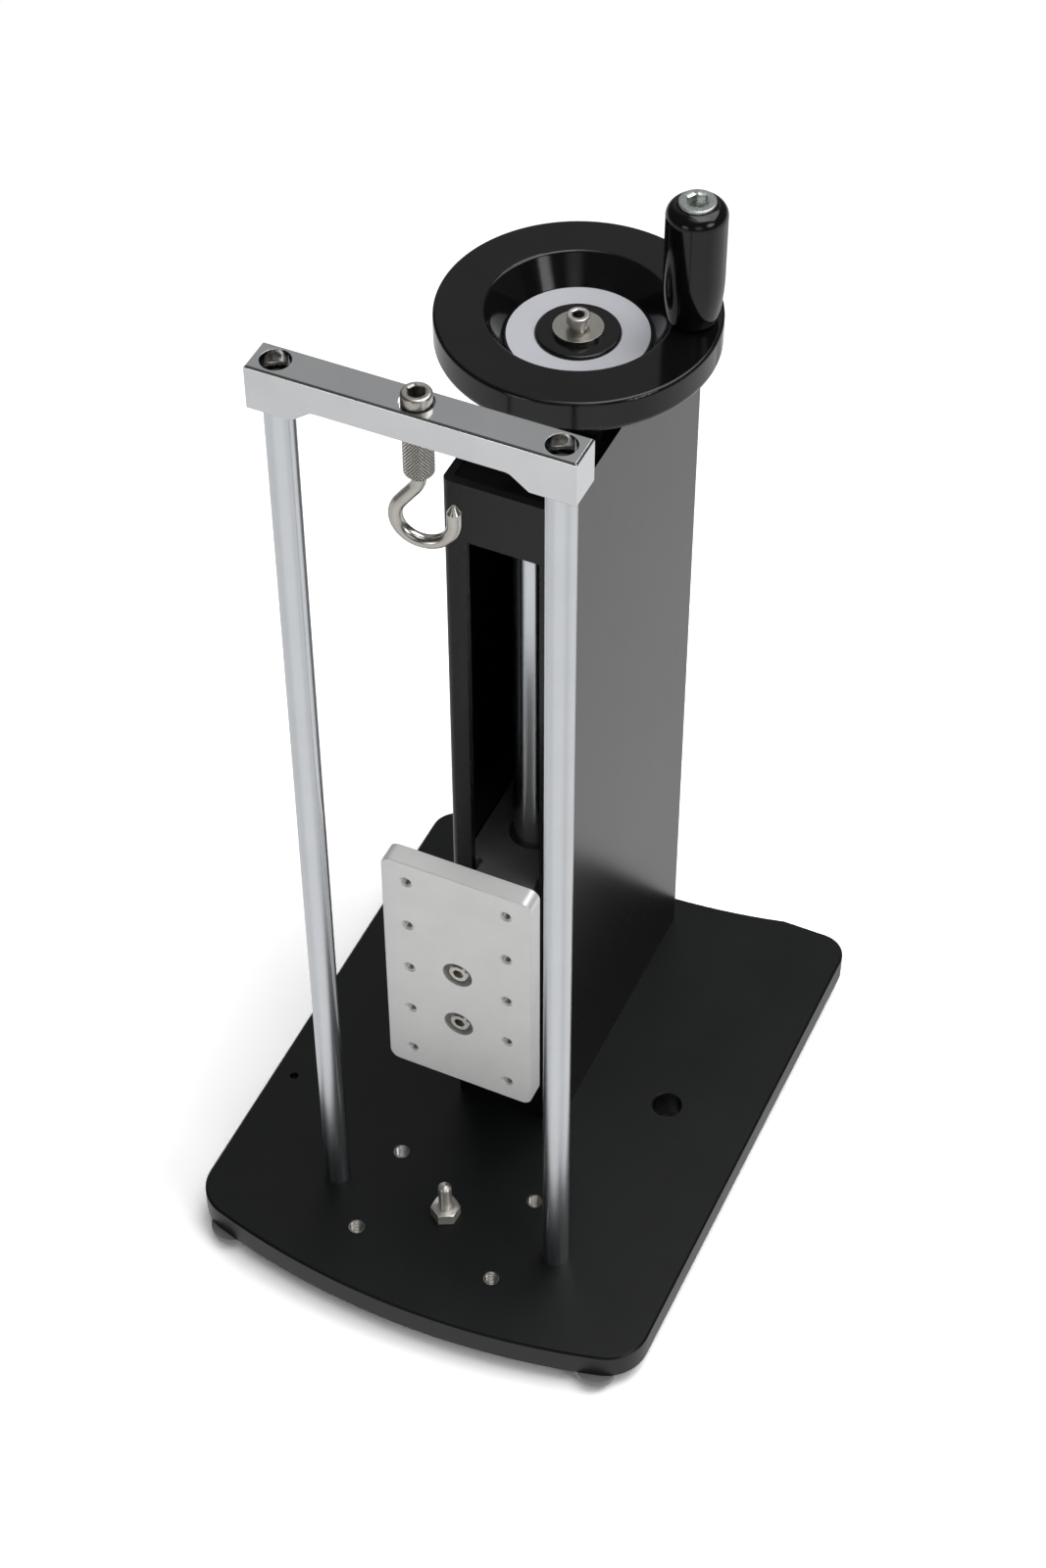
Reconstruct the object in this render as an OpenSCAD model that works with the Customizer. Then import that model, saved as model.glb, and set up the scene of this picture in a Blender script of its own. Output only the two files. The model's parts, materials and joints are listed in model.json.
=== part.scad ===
/* [Base plate] */
// Width of the base plate
base_w = 240; // [200:5:300]
// Depth from the middle of the bowed front edge to the rear edge
base_d = 310; // [295:5:360]
// Thickness of the base plate
base_t = 15; // [13:1:20]
// Radius of the bowed front edge
base_bow_r = 390; // [300:10:600]
// Radius of the two front corners
front_corner_r = 22; // [10:1:30]
// Radius of the two rear corners
rear_corner_r = 14; // [8:1:20]
// Width of the shallow hollow in the rear edge
rear_hollow_w = 165; // [100:5:180]
// Depth of the shallow hollow in the rear edge
rear_hollow_d = 10; // [4:1:15]
// Bevel along the top edge of the base plate
base_bevel = 1; // [0.5:0.5:2]
// Diameter of the clearance hole right of the column
bench_hole_d = 14.5; // [10:0.5:18]
// Sideways place of the clearance hole
bench_hole_x = 73.5; // [60:0.5:90]
// Distance of the clearance hole behind the stud axis
bench_hole_back = 109; // [90:1:130]
// Diameter of the small tapped hole at the left edge
edge_hole_d = 4.2; // [3:0.1:5]
// Distance of the small tapped hole from the left edge
edge_hole_inset = 11; // [8:0.5:16]
// Distance of the small tapped hole behind the stud axis
edge_hole_back = 46; // [30:1:60]

/* [Feet] */
// Diameter of a domed foot
foot_d = 22; // [18:1:26]
// Height of a foot
foot_h = 10; // [8:0.5:10.5]
// Distance of a foot axis from the edges of the base plate
foot_inset = 20; // [18:1:28]
// Thread size of the foot screws
foot_screw_d = 4; // [3:1:5]

/* [Fixture stud and tapped inserts] */
// Distance of the stud axis behind the front edge
stud_setback = 60; // [50:1:70]
// Diameter of the plain upper end of the stud
stud_d = 6.6; // [5:0.2:7.6]
// Height of the stud above the base plate
stud_h = 24; // [18:1:35]
// Thread size of the lower end of the stud and its nut
stud_thread_d = 8; // [8:1:10]
// Width across the flats of the stud nut
stud_nut_af = 13; // [13:1:17]
// Direction of one corner of the stud nut, in degrees from the right side
stud_nut_turn = 27; // [0:1:60]
// Height of the stud nut
stud_nut_h = 6.5; // [4:0.5:8]
// Sideways spacing of the four tapped inserts
insert_dx = 74; // [60:1:90]
// Front to back spacing of the four tapped inserts
insert_dy = 51; // [40:1:60]
// Outer diameter of an insert
insert_d = 8.2; // [7:0.2:10]
// Bore of an insert
insert_bore = 6.8; // [5:0.1:6.9]
// Length of an insert
insert_h = 12; // [8:1:12]

/* [Sample frame] */
// Distance between the two rods
rod_spacing = 120; // [100:2:160]
// Diameter of a rod
rod_d = 12.7; // [9:0.1:13]
// Height of the frame above the base plate
frame_h = 524; // [520:2:600]
// Distance from a rod axis to the end of the crossbar
bar_overhang = 9.75; // [8.25:0.25:20]
// Depth of the crossbar from front to back
bar_d = 16.5; // [15:0.5:22]
// Height of the crossbar over the rods
bar_h = 20.5; // [18:0.5:26]
// Height of the relief under the middle of the crossbar
bar_relief = 6.5; // [4:0.5:8]
// Reach of the full height ends of the crossbar past the rod axes, inwards
bar_end_reach = 9.75; // [8.25:0.25:14]
// Slope length of the relief, measured along the bar
bar_slope = 8.5; // [6:0.5:14]
// Radius where the slope meets the relief
bar_relief_r = 5; // [2:0.5:8]
// Bevel along the upper edges of the crossbar
bar_bevel = 0.8; // [0.2:0.2:1.2]
// Thread size of the screws that hold the rods
rod_screw_d = 6; // [5:1:6]
// Diameter of the deep counterbores over the rods
rod_sink_d = 12.8; // [11:0.2:13.4]
// Depth of the counterbores over the rods
rod_sink_h = 14; // [8:0.5:14.5]

/* [Hook] */
// Diameter of the hook wire
hook_wire_d = 5.8; // [4:0.2:6.4]
// Radius of the hook bowl, to the middle of the wire
hook_r = 12; // [10:0.2:16]
// Radius of the bend below the barrel
hook_neck_r = 10; // [8:0.2:14]
// Lean of the straight between the bend and the bowl, in degrees from upright
hook_lean = 37; // [20:1:60]
// Length of that straight
hook_slope_l = 10; // [6:0.5:14]
// Straight length of the hook point above the middle of the bowl
hook_tip_h = 9; // [6:0.5:11]
// Length of the tapered end of the hook point
hook_taper_h = 3.4; // [2:0.2:4.2]
// Direction of the hook at rest, in degrees about its upright axis
hook_turn = 9; // [0:1:360]
// Diameter of the knurled barrel
barrel_d = 12.6; // [10.6:0.2:16]
// Length of the knurled barrel
barrel_h = 22.5; // [20:0.5:30]
// Bevel at the lower end of the barrel
barrel_bevel = 2.4; // [0.6:0.2:2.8]
// Thread size of the screw that holds the hook
hook_screw_d = 8; // [6:1:8]
// Diameter of the head of the hook screw
hook_head_d = 12.6; // [11:0.2:13.4]
// Diameter of the shallow counterbore in the middle of the crossbar
hook_sink_d = 14.4; // [14:0.2:15.4]
// Depth of that counterbore
hook_sink_h = 3; // [1:0.5:5]

/* [Column] */
// Width of the column tube
column_w = 56; // [52:1:70]
// Depth of the column tube from front to back
column_d = 155; // [145:1:165]
// Height of the column tube
column_h = 416; // [410:2:450]
// Wall of the column tube
column_wall = 4; // [3:0.5:5]
// Radius of the upright outer edges of the tube
column_edge_r = 3; // [2:0.5:6]
// Distance from the rear edge of the base plate to the column
column_setback = 21; // [20:1:40]
// Width of the front slot
slot_w = 35; // [32:0.5:37]
// Distance from the top of the tube to the slot
slot_drop = 32; // [25:1:33]
// Height of the lower end of the slot above the base plate
slot_foot = 30; // [24:1:32]
// Thickness of the cap that closes the tube
cap_t = 12; // [10:1:16]
// Depth of the cap below the rim of the tube
cap_recess = 0.6; // [0.2:0.2:1]
// Height of the block that fills the foot of the tube
plinth_h = 20; // [18:1:22]
// Thread size of the screws that hold the column to the base
column_screw_d = 8; // [6:1:8]
// Thread size of the screws in the rear wall of the tube
rear_screw_d = 5; // [4:1:5]

/* [Guide shaft and lead screw] */
// Diameter of the guide shaft
guide_d = 20; // [16:1:21]
// Distance of the guide shaft behind the front face of the column
guide_setback = 33; // [30:1:34]
// Outer diameter of the lead screw thread
screw_d = 16; // [14:1:16]
// Diameter of the turned ends of the lead screw
journal_d = 12; // [10:1:12]
// Outer diameter of a ball bearing
bearing_d = 28; // [26:1:30]
// Width of a ball bearing
bearing_w = 8; // [7:1:9]
// Outer diameter of the bearing housing under the handwheel
housing_d = 40; // [38:1:42]
// Gap between the bearing housing and the hub of the handwheel
hub_gap = 2; // [1:0.2:3]

/* [Carriage] */
// Height of the top of the carriage block above the base plate
block_top = 177; // [150:1:200]
// Height of the carriage block
block_h = 63; // [62:1:70]
// Distance from the axis of the lead screw to the rear of the block
block_tail = 19.5; // [18.5:0.5:30]
// Width of the neck that passes through the slot
neck_w = 29; // [26:0.5:30]
// Radius of the relief cuts beside the neck
neck_relief_r = 2; // [1:0.5:3]
// Outer diameter of a guide bushing
bushing_d = 24.4; // [24.2:0.2:28]
// Length of a guide bushing
bushing_h = 20; // [15:1:25]
// Width of the mounting plate
plate_w = 75; // [70:1:90]
// Height of the mounting plate
plate_h = 145; // [142:1:160]
// Thickness of the mounting plate
plate_t = 10; // [10:0.5:12]
// Radius of the corners of the mounting plate
plate_corner_r = 5; // [3:0.5:7]
// Bevel round the front of the mounting plate
plate_bevel = 0.5; // [0.2:0.1:1]
// Distance of the front of the mounting plate behind the stud axis
plate_reach = 20.5; // [14:0.5:24]
// Sideways spacing of the tapped holes in the plate
tap_dx = 50; // [40:1:56]
// Upright spacing of the tapped holes in the plate
tap_dz = 30; // [24:1:32]
// Rows of tapped holes in the plate
tap_rows = 5; // [3:2:5]
// Tapping size of those holes
tap_d = 5; // [3.2:0.1:5.4]
// Spacing of the two plate screws
plate_screw_dz = 36; // [30:1:38]
// Distance of the plate screws below the middle of the plate
plate_screw_drop = 11.5; // [8:0.5:13]
// Thread size of the plate screws
plate_screw_d = 6; // [5:0.5:7]
// Diameter of the counterbores of the plate screws
plate_sink_d = 15; // [13.4:0.2:16]

/* [Handwheel] */
// Diameter of the handwheel
wheel_d = 123; // [114:1:150]
// Height of the handwheel rim
rim_h = 16.5; // [14:0.5:20]
// Height of the top of the rim above the top of the column
wheel_rise = 42; // [41:0.5:46]
// Width of the flat top of the rim outside the dish
rim_w = 21.5; // [20:0.5:26]
// Diameter of the floor of the dish
dish_floor_d = 63; // [62:1:70]
// Depth of the dish
dish_h = 13.5; // [11:0.5:14]
// Diameter of the raised boss in the dish
boss_d = 37; // [30:0.5:40]
// Height of the boss above the floor of the dish
boss_h = 2.5; // [2:0.1:3]
// Radius of the upper edges of the rim
rim_edge_r = 1.6; // [1:0.2:3]
// Radius of the lower edge of the rim
rim_foot_r = 4; // [2:0.5:6]
// Outer diameter of the plain dial ring
dial_d = 61.4; // [58:0.2:61.6]
// Thickness of the dial ring
dial_t = 1; // [0.6:0.2:1.4]
// Diameter of the washer on the boss
hub_washer_d = 22; // [20:1:26]
// Thickness of the washer on the boss
hub_washer_t = 2; // [1:0.5:3]
// Thread size of the hub screw
hub_screw_d = 6; // [5:1:6]

/* [Handle] */
// Distance of the handle axis from the edge of the handwheel
handle_inset = 13.5; // [11:0.5:15]
// Direction of the handle at rest, in degrees from the right side
handle_angle = 16.7; // [0:0.1:360]
// Largest diameter of the grip
grip_d = 26; // [22:0.5:28]
// Diameter of the foot of the grip
grip_foot_d = 20.8; // [19:0.2:22]
// Length of the grip
grip_h = 58.5; // [50:0.5:80]
// Length of the tapered foot of the grip
grip_taper_h = 23; // [15:1:30]
// Radius of the shoulder of the grip
grip_shoulder_r = 6; // [4:0.5:7]
// Diameter of the head of the handle axle
axle_head_d = 15.8; // [14:0.2:17]
// Diameter of the handle axle inside the grip
axle_d = 10; // [8:0.5:12]

/* [Hidden] */
$fn = 64;

// Overrun of every cut past the face that it opens
cut = 1;
// Radial clearance of a shaft that turns or slides
run_gap = 0.05;
// Radial clearance of a screw or spigot in its hole
slip = 0.05;
// Clearance of the carriage block inside the tube
tube_gap = 0.5;
// Gap between the grip and the pieces that it turns against
grip_gap = 0.4;
// End play of the hook above and below the crossbar
hook_play = 0.1;
// Clearance hole of a screw over its thread, as a share of the thread
clear_share = 1.08;
// Proportions of a socket head cap screw, as shares of its thread
head_share = 1.65;
hex_share = 0.8;
seat_share = 1.1;
// Depth of the socket and bevel of a screw head, as shares of its height
socket_share = 0.55;
head_bevel_share = 0.12;
// Room round a screw head in its counterbore, as a share of the head
sink_share = 1.1;
// Flat underside of a foot, as a share of its diameter
foot_pad_share = 0.6;
// Ball at each end of the straight of the hook, as a share of the wire
hook_ball_share = 1.005;
// Blunt end of the hook point, as a share of the wire
hook_blunt_share = 0.3;

// Base plate and its places
base_top = foot_h + base_t;
stud_y = stud_setback - base_d / 2;
bow_y = base_bow_r - base_d / 2;
hollow_r = (pow(rear_hollow_w / 2, 2) + pow(rear_hollow_d, 2)) / (2 * rear_hollow_d);
hollow_y = base_d / 2 - rear_hollow_d + hollow_r;
front_corner_x = base_w / 2 - front_corner_r;
front_corner_y = bow_y - sqrt(pow(base_bow_r - front_corner_r, 2) - pow(front_corner_x, 2));
bow_touch = atan2(front_corner_x, bow_y - front_corner_y);
bench_hole_y = stud_y + bench_hole_back;
foot_seat_h = foot_screw_d * seat_share;
foot_screw_grip = foot_screw_d * 2;

// Column, its foot block and its cap
column_front = base_d / 2 - column_setback - column_d;
screw_y = column_front + column_d / 2;
guide_y = column_front + guide_setback;
column_top = base_top + column_h;
column_inner_w = column_w - 2 * column_wall;
column_inner_d = column_d - 2 * column_wall;
column_inner_r = column_edge_r / 2;
plinth_top = base_top + plinth_h;
cap_top = column_top - cap_recess;
cap_foot = cap_top - cap_t;
column_screw_dx = column_inner_w - 2.4 * column_screw_d;
column_screw_dy = column_inner_d - 2.4 * column_screw_d;
column_screw_grip = plinth_h * 0.6;
column_seat_h = column_screw_d * seat_share;
rear_screw_dx = column_inner_w / 4;
rear_screw_l = column_wall + 1.6 * rear_screw_d;

// Guide shaft
guide_seat_h = plinth_h / 2;
guide_cap_seat_h = cap_t / 2;
guide_foot = plinth_top - guide_seat_h;
guide_screw_d = guide_d * 0.4;
guide_sink_h = guide_screw_d * seat_share;
guide_tap_h = guide_screw_d * 2.5;

// Handwheel
dish_d = wheel_d - 2 * rim_w;
rim_top = column_top + wheel_rise;
rim_foot = rim_top - rim_h;
dish_floor = rim_top - dish_h;
boss_top = dish_floor + boss_h;
web_t = rim_h * 0.4;
wheel_hub_foot = dish_floor - web_t - dish_h / 4;
wheel_hub_d = boss_d * 0.92;
key_w = journal_d / 3;
key_foot = wheel_hub_foot + key_w / 2;
key_l = (boss_top - wheel_hub_foot) * 0.6;
lead_screw_top = boss_top - hub_washer_t / 4;
hub_head_d = hub_screw_d * 1.7;
hub_head_h = hub_screw_d * 0.7;
hub_collar_d = hub_screw_d * 1.3;
hub_collar_h = hub_screw_d * 0.4;
hub_screw_l = hub_screw_d * 2.4;

// Bearings and the pieces stacked on the lead screw
housing_top = wheel_hub_foot - hub_gap;
housing_h = housing_top - cap_top;
housing_flange_w = column_inner_w * 0.92;
housing_flange_d = housing_d * 1.28;
housing_flange_h = housing_h / 3;
housing_screw_d = housing_d / 10;
housing_screw_dx = housing_flange_w - 2.6 * housing_screw_d;
housing_screw_dy = housing_flange_d - 2.6 * housing_screw_d;
bearing_inset = bearing_w / 8;
upper_bearing_z = housing_top - bearing_inset - bearing_w;
upper_bearing_top = upper_bearing_z + bearing_w;
lower_bearing_z = plinth_top - bearing_w;
race_d = (journal_d + bearing_d) / 2 - bearing_w / 4;
race_gap = bearing_w / 20;
screw_clear_d = screw_d + 2 * bearing_inset;

// Handle
handle_r = wheel_d / 2 - handle_inset;
handle_x = handle_r * cos(handle_angle);
handle_y = screw_y + handle_r * sin(handle_angle);
grip_foot = rim_top + grip_gap;
axle_head_h = axle_head_d / 4;
axle_head_rise = axle_head_h / 3;
axle_sink_h = axle_head_h - axle_head_rise + grip_gap;
axle_thread_d = axle_d * 0.8;
axle_thread_h = rim_h * 0.75;
axle_hex = axle_head_d / 2;

// Carriage
block_z = base_top + block_top - block_h;
block_mid = block_z + block_h / 2;
block_w = column_inner_w - 2 * tube_gap;
block_front = column_front + column_wall + tube_gap;
block_rear = screw_y + block_tail;
plate_front = stud_y + plate_reach;
plate_rear = plate_front + plate_t;
plate_sink_h = plate_t * 0.7;
plate_head_d = plate_sink_d * 0.7;
plate_head_h = plate_sink_h * 0.9;
plate_screw_grip = plate_screw_d * 2.2;
nut_d = screw_d * 1.6;
nut_h = block_h * 0.4;
nut_flange_d = block_w * 0.95;
nut_flange_h = screw_d / 2;
nut_screw_d = screw_d / 4;
nut_screw_r = (nut_d + nut_flange_d) / 4;
nut_screw_grip = nut_screw_d * 2.5;

// Sample frame and hook
bar_l = rod_spacing + 2 * bar_overhang;
bar_end_w = bar_overhang + bar_end_reach;
bar_top = base_top + frame_h;
bar_foot = bar_top - bar_h;
span_foot = bar_foot + bar_relief;
rod_seat_h = rod_screw_d * seat_share;
rod_tap_h = rod_screw_d * 2.5;
rod_screw_grip = rod_tap_h * 0.9;
hook_head_h = hook_screw_d;
hook_screw_reach = barrel_h * 0.45;
barrel_top = span_foot - hook_play;
barrel_foot = span_foot - barrel_h;
hook_shank_h = barrel_h * 0.4;
hook_bend_z = barrel_foot - hook_wire_d / 8;
hook_slope_x = hook_neck_r * (cos(hook_lean) - 1);
hook_slope_z = hook_bend_z - hook_neck_r * sin(hook_lean);
hook_mid_x = hook_slope_x - hook_slope_l * sin(hook_lean) + hook_r * cos(hook_lean);
hook_mid_z = hook_slope_z - hook_slope_l * cos(hook_lean) - hook_r * sin(hook_lean);

// Piece outside a fillet of radius r, at the corner p of two edges that run towards a and b
module corner(p, a, b, r) {
    u = (a - p) / norm(a - p);
    v = (b - p) / norm(b - p);
    half = acos(u * v) / 2;
    t = r / tan(half);
    c = p + (u + v) / norm(u + v) * r / sin(half);
    difference() {
        polygon([p, p + u * t, c, p + v * t]);
        translate(c) circle(r);
    }
}

module rounded_rect(w, d, r) {
    square([w - 2 * r, d], center = true);
    square([w, d - 2 * r], center = true);
    for (x = [-1, 1], y = [-1, 1])
        translate([x * (w / 2 - r), y * (d / 2 - r)]) circle(r);
}

// Ring with a clear bore
module ring(d, bore, h) {
    difference() {
        cylinder(d = d, h = h);
        translate([0, 0, -cut]) cylinder(d = bore, h = h + 2 * cut);
    }
}

// Socket head cap screw with its head above z = 0 and its shank below
module cap_screw(d, length, head_d, head_h, hex) {
    bevel = head_h * head_bevel_share;
    point_h = d / 8;
    difference() {
        union() {
            cylinder(d = head_d, h = head_h - bevel);
            translate([0, 0, head_h - bevel])
                cylinder(d1 = head_d, d2 = head_d - 2 * bevel, h = bevel);
            translate([0, 0, point_h - length]) cylinder(d = d, h = length - point_h);
            translate([0, 0, -length]) cylinder(d1 = d * hex_share, d2 = d, h = point_h);
        }
        translate([0, 0, head_h * (1 - socket_share)])
            cylinder(d = hex / cos(30), h = head_h, $fn = 6);
    }
}

module standard_screw(d, length) {
    cap_screw(d, length, d * head_share, d, d * hex_share);
}

// Hole for a screw that enters from below, with a counterbore for its head
module sunk_hole(d, depth, sink) {
    translate([0, 0, -cut]) {
        cylinder(d = d * clear_share, h = depth + 2 * cut);
        cylinder(d = d * head_share * sink_share, h = sink + cut);
    }
}

// Tapped hole that goes down from z = 0
module tapped_hole(d, depth) {
    translate([0, 0, -depth]) cylinder(d = d + 2 * slip, h = depth + cut);
}

// Cutter for the bevel of a straight edge that runs from x = 0, with the part at y < 0 and z < 0
module bevel_run(length, size) {
    rotate([90, 0, 90]) linear_extrude(length)
        polygon([[-size - cut, cut], [cut, cut], [cut, -size - cut]]);
}

module line_bevel(length, size) {
    translate([-length / 2, 0, 0]) bevel_run(length, size);
}

// Cutter for the bevel of a convex round edge of radius r
module arc_bevel(r, size, turn = 360) {
    rotate_extrude(angle = turn, $fn = 256)
        polygon([[r - size - cut, cut], [r + cut, cut], [r + cut, -size - cut]]);
}

// Cutter for the bevel of a hollow round edge of radius r
module hollow_bevel(r, size) {
    rotate_extrude($fn = 256)
        polygon([[r + size + cut, cut], [r - cut, cut], [r - cut, -size - cut]]);
}

// Cutters for the bevel round the front of a rounded rectangle
module rect_bevel(w, d, r, size) {
    for (turn = [0, 180]) rotate(turn) {
        translate([0, d / 2, 0]) line_bevel(w - 2 * r, size);
        translate([w / 2, 0, 0]) rotate(-90) line_bevel(d - 2 * r, size);
        for (m = [0, 1]) mirror([m, 0, 0])
            translate([w / 2 - r, d / 2 - r, 0]) arc_bevel(r, size, 90);
    }
}

module insert_places() {
    for (x = [-1, 1], y = [-1, 1])
        translate([x * insert_dx / 2, stud_y + y * insert_dy / 2, 0]) children();
}

module foot_places() {
    for (x = [-1, 1], y = [-1, 1])
        translate([x * (base_w / 2 - foot_inset), y * (base_d / 2 - foot_inset), 0]) children();
}

module rod_places() {
    for (x = [-1, 1]) translate([x * rod_spacing / 2, stud_y, 0]) children();
}

module column_screw_places() {
    for (x = [-1, 1], y = [-1, 1])
        translate([x * column_screw_dx / 2, screw_y + y * column_screw_dy / 2, 0]) children();
}

module rear_screw_places() {
    for (x = [-1, 1], z = [base_top + plinth_h / 2, cap_top - cap_t / 2])
        translate([x * rear_screw_dx / 2, column_front + column_d, z]) rotate([-90, 0, 0]) children();
}

module housing_screw_places() {
    for (x = [-1, 1], y = [-1, 1])
        translate([x * housing_screw_dx / 2, screw_y + y * housing_screw_dy / 2, cap_top])
            children();
}

module nut_screw_places() {
    for (turn = [45:90:315])
        translate([0, screw_y, block_z]) rotate(turn) translate([nut_screw_r, 0, 0]) children();
}

module plate_screw_places() {
    for (z = [-1, 1])
        translate([0, plate_front, block_mid + z * plate_screw_dz / 2])
            rotate([90, 0, 0]) children();
}

module base_outline() {
    difference() {
        intersection() {
            square([base_w, base_d], center = true);
            translate([0, bow_y]) circle(base_bow_r, $fn = 256);
        }
        for (m = [0, 1]) mirror([m, 0]) {
            front_corner();
            corner([base_w / 2, base_d / 2], [0, base_d / 2], [base_w / 2, 0], rear_corner_r);
        }
        translate([0, hollow_y]) circle(hollow_r, $fn = 256);
    }
}

// What lies outside the round front corner of the base, between its side and the bowed edge
module front_corner() {
    reach = base_bow_r + front_corner_r;
    difference() {
        polygon([
            [front_corner_x, front_corner_y],
            [base_w / 2 + front_corner_r, front_corner_y],
            [base_w / 2 + front_corner_r, -base_d / 2 - front_corner_r],
            [reach * sin(bow_touch), bow_y - reach * cos(bow_touch)]
        ]);
        translate([front_corner_x, front_corner_y]) circle(front_corner_r);
    }
}

module base_bevels() {
    translate([0, base_d / 2, 0]) line_bevel(base_w - 2 * rear_corner_r, base_bevel);
    translate([0, bow_y, 0]) arc_bevel(base_bow_r, base_bevel);
    translate([0, hollow_y, 0]) hollow_bevel(hollow_r, base_bevel);
    for (m = [0, 1]) mirror([m, 0, 0]) {
        translate([base_w / 2, base_d / 2 - rear_corner_r, 0]) rotate(-90)
            bevel_run(base_d / 2 - rear_corner_r - front_corner_y, base_bevel);
        translate([base_w / 2 - rear_corner_r, base_d / 2 - rear_corner_r, 0])
            arc_bevel(rear_corner_r, base_bevel, 90);
        translate([front_corner_x, front_corner_y, 0]) mirror([0, 1, 0])
            arc_bevel(front_corner_r, base_bevel, 90 - bow_touch);
    }
}

module base_plate() {
    hole_bevel = base_bevel / 2;
    color("#232525") difference() {
        translate([0, 0, foot_h]) linear_extrude(base_t) base_outline();
        translate([0, 0, base_top]) base_bevels();
        insert_places() translate([0, 0, base_top - insert_h])
            cylinder(d = insert_d + 2 * slip, h = insert_h + cut);
        translate([0, stud_y, foot_h - cut])
            cylinder(d = stud_thread_d + 2 * slip, h = base_t + 2 * cut);
        rod_places() translate([0, 0, foot_h]) sunk_hole(rod_screw_d, base_t, rod_seat_h);
        column_screw_places() translate([0, 0, foot_h])
            sunk_hole(column_screw_d, base_t, column_seat_h);
        translate([0, guide_y, foot_h]) sunk_hole(guide_screw_d, base_t, guide_sink_h);
        translate([bench_hole_x, bench_hole_y, foot_h - cut])
            cylinder(d = bench_hole_d, h = base_t + 2 * cut);
        translate([bench_hole_x, bench_hole_y, base_top - hole_bevel])
            cylinder(d1 = bench_hole_d, d2 = bench_hole_d + 4 * hole_bevel, h = 2 * hole_bevel);
        translate([edge_hole_inset - base_w / 2, stud_y + edge_hole_back, foot_h - cut])
            cylinder(d = edge_hole_d, h = base_t + 2 * cut);
        foot_places() translate([0, 0, foot_h - cut])
            cylinder(d = foot_screw_d + 2 * slip, h = foot_screw_grip + 2 * cut);
    }
}

module feet() {
    pad_r = foot_d * foot_pad_share / 2;
    dome_z = (pow(foot_d / 2, 2) + pow(foot_h, 2) - pow(pad_r, 2)) / (2 * foot_h);
    color("#7c7f84") foot_places() difference() {
        rotate_extrude() intersection() {
            square([foot_d / 2, foot_h]);
            translate([0, dome_z]) circle(norm([pad_r, dome_z]), $fn = 128);
        }
        sunk_hole(foot_screw_d, foot_h, foot_seat_h);
    }
}

module foot_screws() {
    color("#8d8f92") foot_places() translate([0, 0, foot_seat_h]) rotate([180, 0, 0])
        standard_screw(foot_screw_d, foot_h - foot_seat_h + foot_screw_grip);
}

module thread_inserts() {
    bevel = (insert_d - insert_bore) / 6;
    color("#a9a59b") insert_places() translate([0, 0, base_top - insert_h]) difference() {
        ring(insert_d, insert_bore, insert_h);
        translate([0, 0, insert_h - bevel])
            cylinder(d1 = insert_bore, d2 = insert_bore + 4 * bevel, h = 2 * bevel);
    }
}

module centre_stud() {
    dome_r = stud_d * 0.6;
    thread_h = base_t * 0.8;
    color("#b3aea2") translate([0, stud_y, base_top]) {
        translate([0, 0, -thread_h]) cylinder(d = stud_thread_d, h = thread_h + stud_nut_h * 0.9);
        rotate_extrude() {
            square([stud_d / 2, stud_h - dome_r]);
            intersection() {
                square([stud_d / 2, stud_h]);
                translate([0, stud_h - dome_r]) circle(dome_r);
            }
        }
    }
}

module stud_nut() {
    corner_d = stud_nut_af / cos(30);
    bevel = (corner_d - stud_nut_af) / 2;
    color("#b3aea2") translate([0, stud_y, base_top]) difference() {
        intersection() {
            rotate(stud_nut_turn) cylinder(d = corner_d, h = stud_nut_h, $fn = 6);
            union() {
                cylinder(d = corner_d + bevel, h = stud_nut_h - bevel / 2);
                translate([0, 0, stud_nut_h - bevel / 2])
                    cylinder(d1 = corner_d, d2 = stud_nut_af, h = bevel / 2);
            }
        }
        translate([0, 0, -cut]) cylinder(d = stud_thread_d + 2 * slip, h = stud_nut_h + 2 * cut);
    }
}

module rod() {
    length = bar_foot - base_top;
    color("#d8dade") translate([0, stud_y, base_top]) difference() {
        cylinder(d = rod_d, h = length);
        translate([0, 0, length]) tapped_hole(rod_screw_d, rod_tap_h);
        rotate([180, 0, 0]) tapped_hole(rod_screw_d, rod_tap_h);
    }
}

module left_rod() {
    translate([-rod_spacing / 2, 0, 0]) rod();
}

module right_rod() {
    translate([rod_spacing / 2, 0, 0]) rod();
}

module rod_foot_screws() {
    color("#8d8f92") rod_places() translate([0, 0, foot_h + rod_seat_h]) rotate([180, 0, 0])
        standard_screw(rod_screw_d, base_t - rod_seat_h + rod_screw_grip);
}

// Crossbar seen from the front, with its foot at y = 0
module bar_profile() {
    gap = bar_l / 2 - bar_end_w;
    top = gap - bar_slope;
    difference() {
        translate([-bar_l / 2, 0]) square([bar_l, bar_h]);
        difference() {
            union() {
                polygon([[-gap, 0], [gap, 0], [top, bar_relief], [-top, bar_relief]]);
                translate([-gap, -cut]) square([2 * gap, cut]);
                for (m = [0, 1]) mirror([m, 0])
                    corner([gap, 0], [bar_l / 2, 0], [top, bar_relief], bar_relief_r / 3);
            }
            for (m = [0, 1]) mirror([m, 0])
                corner([top, bar_relief], [0, bar_relief], [gap, 0], bar_relief_r);
        }
    }
}

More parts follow.
